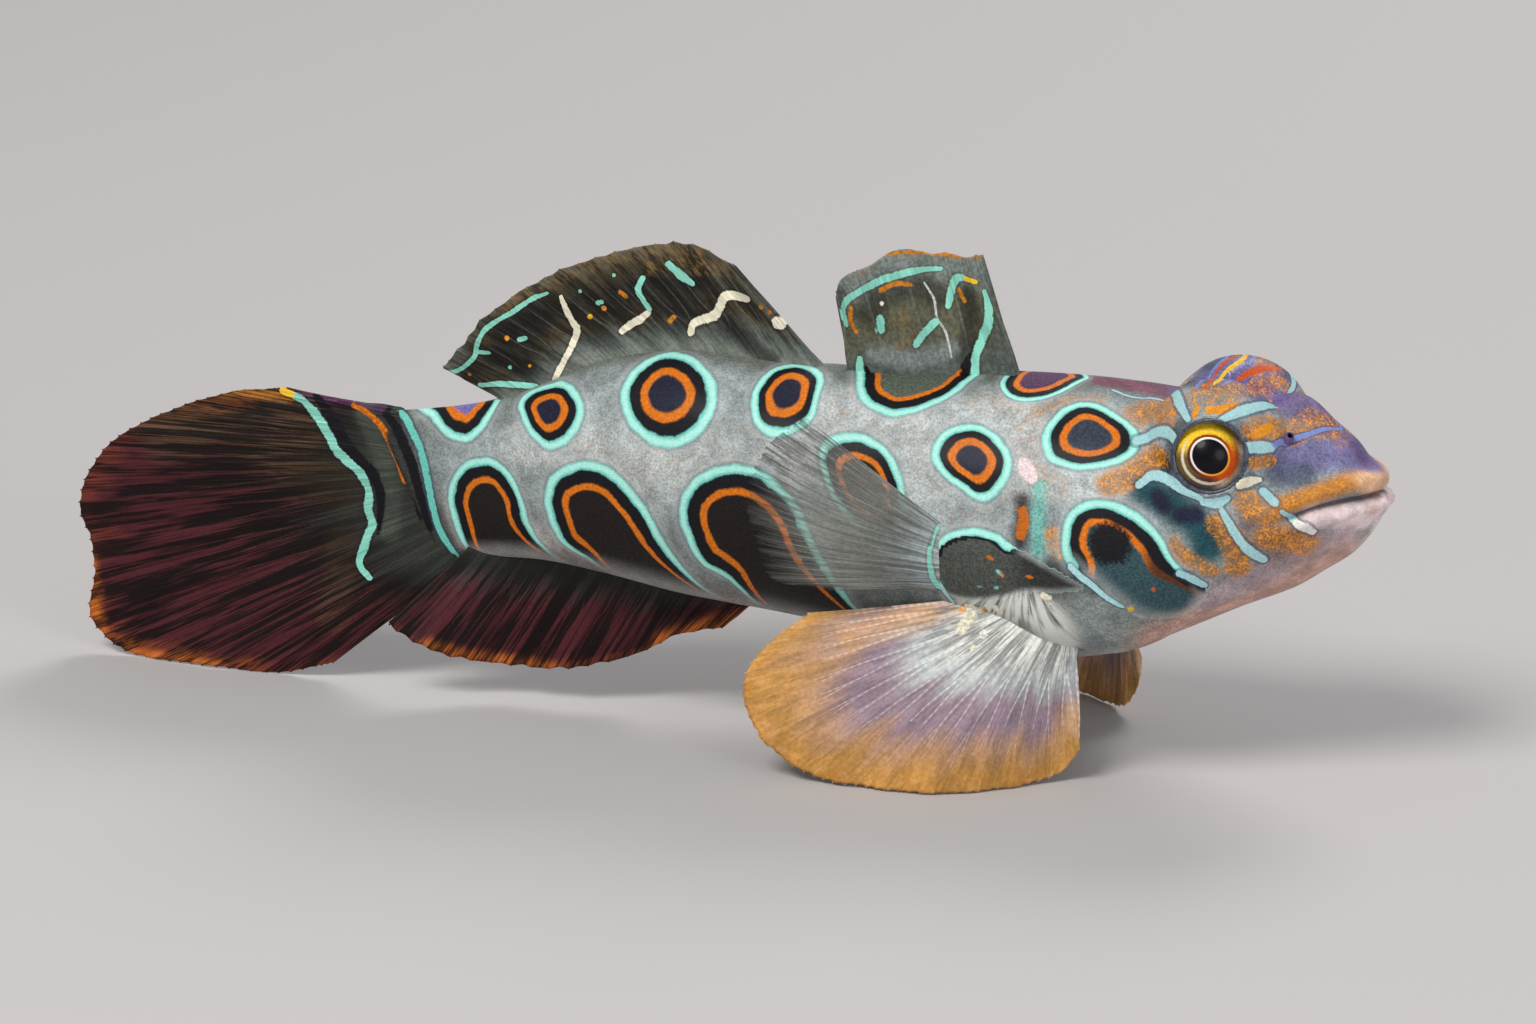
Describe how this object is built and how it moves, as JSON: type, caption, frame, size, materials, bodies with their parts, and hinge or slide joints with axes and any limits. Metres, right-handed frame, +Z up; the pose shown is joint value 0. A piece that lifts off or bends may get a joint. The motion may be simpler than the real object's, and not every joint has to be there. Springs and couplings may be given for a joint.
{
  "type": "mandarinfish figure",
  "caption": "Life-size spotted mandarinfish resting on its spread pelvic fins and the lower edge of its tail fin, both dorsal fins raised.",
  "frame": {"origin": "on the floor, under the middle of the bounding box", "axes": "+X to the snout along the fish, +Y to its left side, +Z up from the floor it stands on"},
  "size_m": [0.0658, 0.0196, 0.0235],
  "materials": {
    "skin": "wet, pale grey-blue skin with cyan, black and orange ring marks",
    "lip_skin": "wet, pale lip and chin skin",
    "eye": "clear and glossy over a gold iris and black pupil",
    "dorsal_fin": "thin olive membrane with cyan lines",
    "tail_fin": "thin maroon membrane with an orange edge",
    "pectoral_fin": "thin, clear membrane with fine grey rays",
    "pelvic_fin": "thin amber membrane with pale rays"
  },
  "bodies": {
    "root": {"head": "skin", "lower_jaw": "lip_skin", "trunk": "skin", "tail_stalk": "skin", "eye_right": "eye", "eye_left": "eye", "dorsal_fin_front": "dorsal_fin", "dorsal_fin_rear": "dorsal_fin", "anal_fin": "tail_fin", "tail_fin": "tail_fin", "pectoral_fin_right": "pectoral_fin", "pectoral_fin_left": "pectoral_fin", "pelvic_fin_right": "pelvic_fin", "pelvic_fin_left": "pelvic_fin"}
  },
  "joints": []
}
